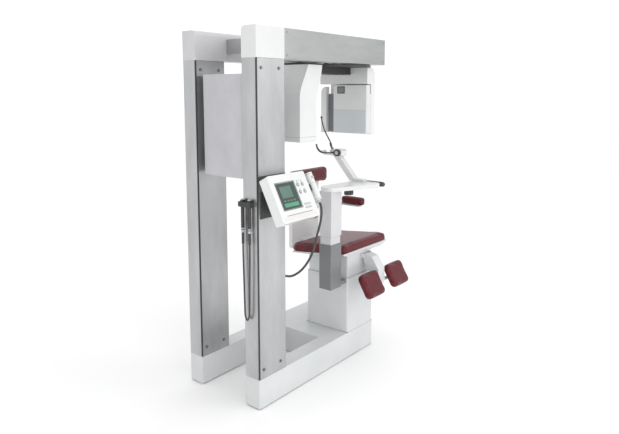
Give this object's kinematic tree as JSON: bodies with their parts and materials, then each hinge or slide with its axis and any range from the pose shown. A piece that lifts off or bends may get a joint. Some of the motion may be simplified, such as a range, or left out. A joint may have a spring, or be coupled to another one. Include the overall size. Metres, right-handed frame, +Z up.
{
  "type": "panoramic x-ray machine",
  "caption": "Seated-patient dental panoramic x-ray unit: gantry with rotating scan arm, lifting chair, chin and head support post and a tilting control console.",
  "frame": {"origin": "on the floor, in the chair's mid-plane and midway between the two columns", "axes": "+X from the columns to the chair, -Y the way the patient faces, +Z up"},
  "size_m": [1.32, 0.7555, 2],
  "materials": {
    "brushed_column": "satin",
    "bolt_steel": "satin",
    "base_paint": "semi-gloss",
    "foot_rubber": "matte",
    "white_cover": "semi-gloss",
    "grey_paint": "satin",
    "anodised": "satin",
    "rail_steel": "polished",
    "cabinet_paint": "satin",
    "carriage_grey": "satin",
    "turntable_dark": "satin",
    "cassette_grey": "satin",
    "chair_metal": "satin",
    "red_leather": "glossy",
    "dark_plastic": "matte",
    "sleeve_paint": "satin",
    "dark_metal": "satin",
    "console_white": "glossy",
    "lcd": "glossy",
    "key_grey": "matte",
    "cord_rubber": "matte"
  },
  "bodies": {
    "gantry": {"column_front": "brushed_column", "column_rear": "brushed_column", "column_bolts": "bolt_steel", "base_beams": "base_paint", "feet": "foot_rubber", "top_end_block": "white_cover", "top_beam_front": "grey_paint", "fascia": "anodised", "top_beam_rear": "grey_paint", "rail_set": "rail_steel", "cabinet_box": "cabinet_paint", "cabinet_cover": "cabinet_paint", "pedestal": "base_paint", "post_sleeve": "sleeve_paint", "console_bracket": "dark_metal", "handset": "console_white", "handset_cord": "cord_rubber", "switch_holder": "dark_plastic", "hand_switches": "dark_plastic", "switch_cord": "cord_rubber"},
    "x_slide": {"x_carriage": "carriage_grey"},
    "y_slide": {"y_carriage": "carriage_grey"},
    "roller": {"drive_roller": "foot_rubber"},
    "arm": {"spindle": "rail_steel", "turntable": "turntable_dark", "tube_cover": "white_cover", "receptor_frame": "white_cover"},
    "cassette": {"cassette_box": "cassette_grey"},
    "chair": {"seat_base": "chair_metal", "seat_cushion": "red_leather", "back_support": "white_cover"},
    "back_rest": {"back_carrier": "dark_plastic", "back_pad": "red_leather"},
    "armrest_left": {"armrest_frame_l": "chair_metal", "armrest_pad_l": "red_leather"},
    "armrest_right": {"armrest_frame_r": "chair_metal", "armrest_pad_r": "red_leather"},
    "leg_rest": {"leg_arm": "chair_metal"},
    "leg_left": {"leg_mount_l": "dark_plastic", "leg_pad_l": "red_leather"},
    "leg_right": {"leg_mount_r": "dark_plastic", "leg_pad_r": "red_leather"},
    "post": {"post_inner": "grey_paint", "tray": "white_cover", "hand_grip": "dark_plastic"},
    "tray_clamp": {"tray_knob": "dark_plastic"},
    "chin": {"chin_arm": "white_cover", "head_block": "white_cover", "chin_rest": "white_cover"},
    "jaw_screw": {"block_knob": "dark_plastic"},
    "jaw_left": {"jaw_l": "dark_plastic"},
    "jaw_right": {"jaw_r": "dark_plastic"},
    "forehead": {"forehead_rod": "dark_plastic"},
    "console": {"console_body": "console_white", "screen": "lcd"},
    "key_top_left": {"key_1": "key_grey"},
    "key_top_right": {"key_2": "key_grey"},
    "key_low_left": {"key_3": "key_grey"},
    "key_low_right": {"key_4": "key_grey"},
    "trigger": {"handset_button": "key_grey"}
  },
  "joints": [
    {"name": "carriage_x", "type": "slide", "parent": "gantry", "child": "x_slide", "axis": [1, 0, 0], "range_m": [0, 0.04]},
    {"name": "carriage_y", "type": "slide", "parent": "x_slide", "child": "y_slide", "axis": [0, 1, 0], "range_m": [0, 0.05]},
    {"name": "arm_rotation", "type": "hinge", "parent": "y_slide", "child": "arm", "pos_m": [-0.04, -0.03, 1.85], "axis": [0, 0, 1], "range_deg": [-210, 30]},
    {"name": "roller_spin", "type": "hinge", "parent": "y_slide", "child": "roller", "pos_m": [-0.0983, -0.03, 1.85], "axis": [0, 0, 1], "range_deg": [-120, 810]},
    {"name": "cassette_slide", "type": "slide", "parent": "arm", "child": "cassette", "axis": [0, 1, 0], "range_m": [0, 0.066]},
    {"name": "chair_lift", "type": "slide", "parent": "gantry", "child": "chair", "axis": [0, 0, 1], "range_m": [-0.04, 0.12]},
    {"name": "back_height", "type": "slide", "parent": "chair", "child": "back_rest", "axis": [0, 0, 1], "range_m": [-0.12, 0.02]},
    {"name": "armrest_left_lift", "type": "hinge", "parent": "chair", "child": "armrest_left", "pos_m": [-0.254, 0.17, 0.892], "axis": [1, 0, 0], "range_deg": [-90, 0]},
    {"name": "armrest_right_lift", "type": "hinge", "parent": "chair", "child": "armrest_right", "pos_m": [0.27, 0.17, 0.892], "axis": [1, 0, 0], "range_deg": [-90, 0]},
    {"name": "leg_swing", "type": "hinge", "parent": "chair", "child": "leg_rest", "pos_m": [0.008, -0.288, 0.632], "axis": [1, 0, 0], "range_deg": [-50, 12]},
    {"name": "leg_left_tilt", "type": "hinge", "parent": "leg_rest", "child": "leg_left", "pos_m": [-0.138, -0.382, 0.476], "axis": [1, 0, 0], "range_deg": [-20, 20]},
    {"name": "leg_right_tilt", "type": "hinge", "parent": "leg_rest", "child": "leg_right", "pos_m": [0.154, -0.382, 0.476], "axis": [1, 0, 0], "range_deg": [-20, 20]},
    {"name": "post_height", "type": "slide", "parent": "gantry", "child": "post", "axis": [0, 0, 1], "range_m": [0, 0.05]},
    {"name": "tray_clamp_turn", "type": "hinge", "parent": "post", "child": "tray_clamp", "pos_m": [-0.15, -0.25, 1.07], "axis": [0, 0, 1], "range_deg": [-90, 90]},
    {"name": "chin_slide", "type": "slide", "parent": "post", "child": "chin", "axis": [0, 1, 0], "range_m": [-0.04, 0]},
    {"name": "jaw_screw_turn", "type": "hinge", "parent": "chin", "child": "jaw_screw", "pos_m": [-0.05, -0.092, 1.284], "axis": [1, 0, 0], "range_deg": [-180, 180]},
    {"name": "jaw_left_swing", "type": "hinge", "parent": "chin", "child": "jaw_left", "pos_m": [-0.062, -0.058, 1.28], "axis": [0, 0, 1], "range_deg": [-15, 15]},
    {"name": "jaw_right_swing", "type": "hinge", "parent": "chin", "child": "jaw_right", "pos_m": [0.022, -0.058, 1.28], "axis": [0, 0, 1], "range_deg": [-15, 15]},
    {"name": "forehead_tilt", "type": "hinge", "parent": "chin", "child": "forehead", "pos_m": [-0.02, -0.022, 1.29], "axis": [1, 0, 0], "range_deg": [0, 25]},
    {"name": "console_tilt", "type": "hinge", "parent": "gantry", "child": "console", "pos_m": [-0.846, -0.35909, 1.09798], "axis": [1, 0, 0], "range_deg": [-2, 25]},
    {"name": "key_top_left_press", "type": "slide", "parent": "console", "child": "key_top_left", "axis": [0, 0.8878, -0.4602], "range_m": [0, 0.002], "stiffness_N_per_m": 150},
    {"name": "key_top_right_press", "type": "slide", "parent": "console", "child": "key_top_right", "axis": [0, 0.8878, -0.4602], "range_m": [0, 0.002], "stiffness_N_per_m": 150},
    {"name": "key_low_left_press", "type": "slide", "parent": "console", "child": "key_low_left", "axis": [0, 0.8878, -0.4602], "range_m": [0, 0.002], "stiffness_N_per_m": 150},
    {"name": "key_low_right_press", "type": "slide", "parent": "console", "child": "key_low_right", "axis": [0, 0.8878, -0.4602], "range_m": [0, 0.002], "stiffness_N_per_m": 150},
    {"name": "trigger_press", "type": "slide", "parent": "gantry", "child": "trigger", "axis": [0, 0.8878, -0.4602], "range_m": [0, 0.003], "stiffness_N_per_m": 150}
  ],
  "couplings": [
    {"joint": "roller_spin", "follows": "arm_rotation", "ratio": -3.8333},
    {"joint": "jaw_right_swing", "follows": "jaw_left_swing", "ratio": -1}
  ]
}
